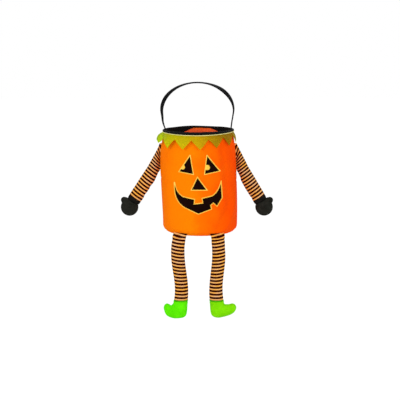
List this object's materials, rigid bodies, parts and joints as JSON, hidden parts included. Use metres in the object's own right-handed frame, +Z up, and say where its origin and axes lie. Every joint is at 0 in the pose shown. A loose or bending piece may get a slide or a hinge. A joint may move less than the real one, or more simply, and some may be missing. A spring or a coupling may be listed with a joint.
{
  "type": "treat bag",
  "caption": "Round orange felt treat bag with a bound rim, strap handle, zigzag collar, lantern face, and stuffed striped arms and legs that swing from its seams.",
  "frame": {"origin": "middle of the underside of the flat base", "axes": "+Z up towards the handle, +X to the right as the face is seen, the face looks along -Y"},
  "size_m": [0.3816, 0.2026, 0.5761],
  "materials": {
    "orange_felt": "matte",
    "grey_board": "matte",
    "black_tape": "matte",
    "plastic_hoop": "satin",
    "green_net": "matte",
    "yellow_cord": "matte",
    "black_webbing": "matte",
    "yellow_felt": "matte",
    "black_felt": "matte",
    "striped_knit": "matte",
    "black_plush": "matte",
    "lime_felt": "matte",
    "green_tape": "matte"
  },
  "bodies": {
    "handle": {"handle_strap": "black_webbing"},
    "bag": {"front_panel": "orange_felt", "back_panel": "orange_felt", "base_panel": "orange_felt", "base_board": "grey_board", "rim_binding": "black_tape", "rim_hoop": "plastic_hoop", "collar": "green_net", "collar_piping": "yellow_cord", "left_strap_end": "black_webbing", "right_strap_end": "black_webbing", "left_eye_border": "yellow_felt", "right_eye_border": "yellow_felt", "nose_border": "yellow_felt", "mouth_border": "yellow_felt", "left_eye": "black_felt", "right_eye": "black_felt", "nose": "black_felt", "mouth": "black_felt", "left_sleeve_end": "striped_knit", "right_sleeve_end": "striped_knit", "left_leg_end": "striped_knit", "right_leg_end": "striped_knit"},
    "left_arm": {"left_sleeve": "striped_knit", "left_cuff": "black_plush", "left_hand": "black_plush"},
    "right_arm": {"right_sleeve": "striped_knit", "right_cuff": "black_plush", "right_hand": "black_plush"},
    "left_leg": {"left_leg": "striped_knit", "left_boot_hem": "green_tape", "left_boot": "lime_felt"},
    "right_leg": {"right_leg": "striped_knit", "right_boot_hem": "green_tape", "right_boot": "lime_felt"}
  },
  "joints": [
    {"name": "strap_fold", "type": "hinge", "parent": "handle", "child": "bag", "pos_m": [0, 0, 0.268], "axis": [1, 0, 0], "range_deg": [-85, 85]},
    {"name": "left_shoulder", "type": "hinge", "parent": "bag", "child": "left_arm", "pos_m": [-0.0957, 0, 0.18], "axis": [0, 0, 1], "range_deg": [-40, 40]},
    {"name": "right_shoulder", "type": "hinge", "parent": "bag", "child": "right_arm", "pos_m": [0.0957, 0, 0.18], "axis": [0, 0, -1], "range_deg": [-40, 40]},
    {"name": "left_hip", "type": "hinge", "parent": "bag", "child": "left_leg", "pos_m": [-0.04547, -0.07567, 0.00472], "axis": [-0.8572, 0.515, 0], "range_deg": [-14, 90]},
    {"name": "right_hip", "type": "hinge", "parent": "bag", "child": "right_leg", "pos_m": [0.04547, -0.07567, 0.00472], "axis": [-0.8572, -0.515, 0], "range_deg": [-14, 90]}
  ]
}
